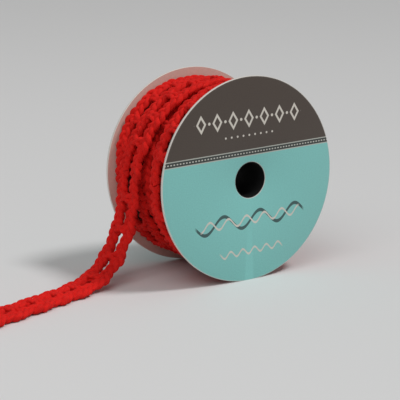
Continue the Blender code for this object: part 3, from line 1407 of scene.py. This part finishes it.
    def loose_ground(
        self, cotton: bpy.types.Material, path: RibbonPath, end: float
    ) -> bpy.types.Object:
        """Makes the thin openwork ground inside the loose end's stitches, with its slots open.

        Args:
            cotton: Its material.
            path: The path that it follows.
            end: Its length.

        Returns:
            The finished piece.
        """
        pattern = CrochetPattern()
        slot_places = tuple(place * MM for place in SLOT_PLACES)
        rows = round(end / pattern.repeat * self.ground_rows)
        columns = self.ground_columns
        bm = bmesh.new()
        bm.loops.layers.uv.new("strand")
        bmesh.ops.create_grid(bm, x_segments=rows, y_segments=columns, size=0.5, calc_uvs=True)
        slots = []
        for face in bm.faces:
            middle = face.calc_center_median()
            place = np.array([(middle.x + 0.5) * end])
            share = float(pattern.repeats(place, slot_places)[0] % 1.0)
            if abs(middle.y) < 0.5 / columns and self.slot_ends[0] < share < self.slot_ends[1]:
                slots.append(face)
        order = []
        for vertex in bm.verts:
            row = round((vertex.co.x + 0.5) * rows)
            column = round((vertex.co.y + 0.5) * columns)
            order.append((vertex, row, column))
        along = np.array([end * row / rows for _, row, _ in order])
        offset = pattern.cord_middle(along, False)
        column_side = np.array([(-1, -1, -1, 1, 1, 1)[column] for _, _, column in order])
        column_step = np.array([(1, 0, -1, -1, 0, 1)[column] for _, _, column in order])
        across = column_side * (offset + column_step * self.ground_core)
        places = path.place(along, across, np.zeros(len(order)))
        for (vertex, _, _), place in zip(order, places.tolist()):
            vertex.co = place
        bmesh.ops.delete(bm, geom=slots, context="FACES")
        ground = add_object("loose_end_ground", bm, [cotton])
        thick = ground.modifiers.new("Thickness", "SOLIDIFY")
        thick.thickness = self.ground_thickness
        thick.offset = 0.0
        rounded = ground.modifiers.new("Rounded", "SUBSURF")
        rounded.levels = 1
        rounded.render_levels = 1
        return ground


@dataclass
class Studio:
    """A plain pale floor, soft studio light and the camera."""

    reel: Reel
    camera_place: tuple[float, float, float] = (-222.06 * MM, -314.84 * MM, 111.49 * MM)
    camera_heading: tuple[float, float, float] = (0.54815, 0.80691, -0.22005)
    lens_mm: float = 101.3
    floor_half: float = 3.0
    floor_colour: str = "#dcdcdc"
    key_from: tuple[float, float, float] = (0.378, -0.392, 0.839)
    key_strength: float = 1.45
    key_softness: float = 13.0
    fill_from: tuple[float, float, float] = (-0.85, -0.62, 1.2)
    fill_size: float = 1.2
    fill_power: float = 8.2
    sky_strength: float = 0.25

    def add_key(self) -> None:
        """Adds the key light, which stands for a large soft box high at the front right."""
        light = bpy.data.lights.new("key", "SUN")
        light.energy = self.key_strength
        light.angle = radians(self.key_softness)
        lamp = bpy.data.objects.new("key", light)
        lamp.location = self.reel.axle + Vector(self.key_from)
        lamp.rotation_euler = (-Vector(self.key_from)).to_track_quat("-Z", "Y").to_euler()
        bpy.context.scene.collection.objects.link(lamp)

    def add_fill(self) -> None:
        """Adds the fill light, a wide white reflector beside the camera."""
        light = bpy.data.lights.new("fill", "AREA")
        light.energy = self.fill_power
        light.size = self.fill_size
        lamp = bpy.data.objects.new("fill", light)
        lamp.location = self.reel.axle + Vector(self.fill_from)
        lamp.rotation_euler = (-Vector(self.fill_from)).to_track_quat("-Z", "Y").to_euler()
        bpy.context.scene.collection.objects.link(lamp)

    def add_floor(self) -> None:
        """Adds the floor, a wide plane of matte white-grey board."""
        material, tree, shader = start_material("studio_board")
        place = add_node(tree, "ShaderNodeTexCoord")
        grain = add_node(
            tree,
            "ShaderNodeTexNoise",
            {"Vector": place.outputs["Object"], "Scale": 40.0, "Detail": 3.0},
        )
        tone = add_node(tree, "ShaderNodeMapRange", {0: grain.outputs[0], 3: 0.80, 4: 0.86})
        tree.links.new(tone.outputs[0], shader.inputs["Roughness"])
        shader.inputs["Base Color"].default_value = linear(self.floor_colour)
        shader.inputs["Specular IOR Level"].default_value = 0.2
        bm = bmesh.new()
        bmesh.ops.create_grid(
            bm,
            x_segments=4,
            y_segments=4,
            size=self.floor_half,
            matrix=Matrix.Translation((0.0, self.floor_half / 2, 0.0)),
        )
        floor = add_object("studio_floor", bm, [material])

    def add_camera(self) -> None:
        """Adds the camera at the photograph's place, heading and lens."""
        data = bpy.data.cameras.new("camera")
        data.lens = self.lens_mm
        data.sensor_width = 36.0
        data.clip_start = 0.01
        data.clip_end = 20.0
        camera = bpy.data.objects.new("camera", data)
        base = Vector((self.reel.axle.x, self.reel.axle.y, 0.0))
        camera.location = base + Vector(self.camera_place)
        camera.rotation_euler = Vector(self.camera_heading).to_track_quat("-Z", "Y").to_euler()
        bpy.context.scene.collection.objects.link(camera)
        bpy.context.scene.camera = camera

    def build(self) -> None:
        """Sets up the whole studio."""
        self.add_camera()
        self.add_floor()
        self.add_key()
        self.add_fill()
        world = bpy.data.worlds.new("studio")
        world.use_nodes = True
        sky = world.node_tree.nodes["Background"]
        sky.inputs["Color"].default_value = linear("#fdfdfc")
        sky.inputs["Strength"].default_value = self.sky_strength
        bpy.context.scene.world = world
        bpy.context.scene.view_settings.view_transform = "Standard"


def main() -> None:
    """Builds each part of the reel, the ribbon and the studio in order."""
    logging.basicConfig(level=logging.INFO, format="%(name)s %(message)s")
    reel = Reel()
    Studio(reel).build()
    bare = PlainCard().material()
    lining = PlainCard.lining().material()
    for side in Side:
        CardFlange(reel, side).build(PrintedCard().material(reel.axle, side), bare, lining)
    HubTube(reel).build(MouldedPlastic().material())
    cotton = CottonYarn().material()
    ribbon = WoundRibbon(reel)
    path = ribbon.top_path()
    ribbon.build_bed(ShadeDarkenedCotton().material())
    ribbon.build_turns(cotton, path)
    ribbon.build_loose_end(cotton, path)


if __name__ == "__main__":
    main()
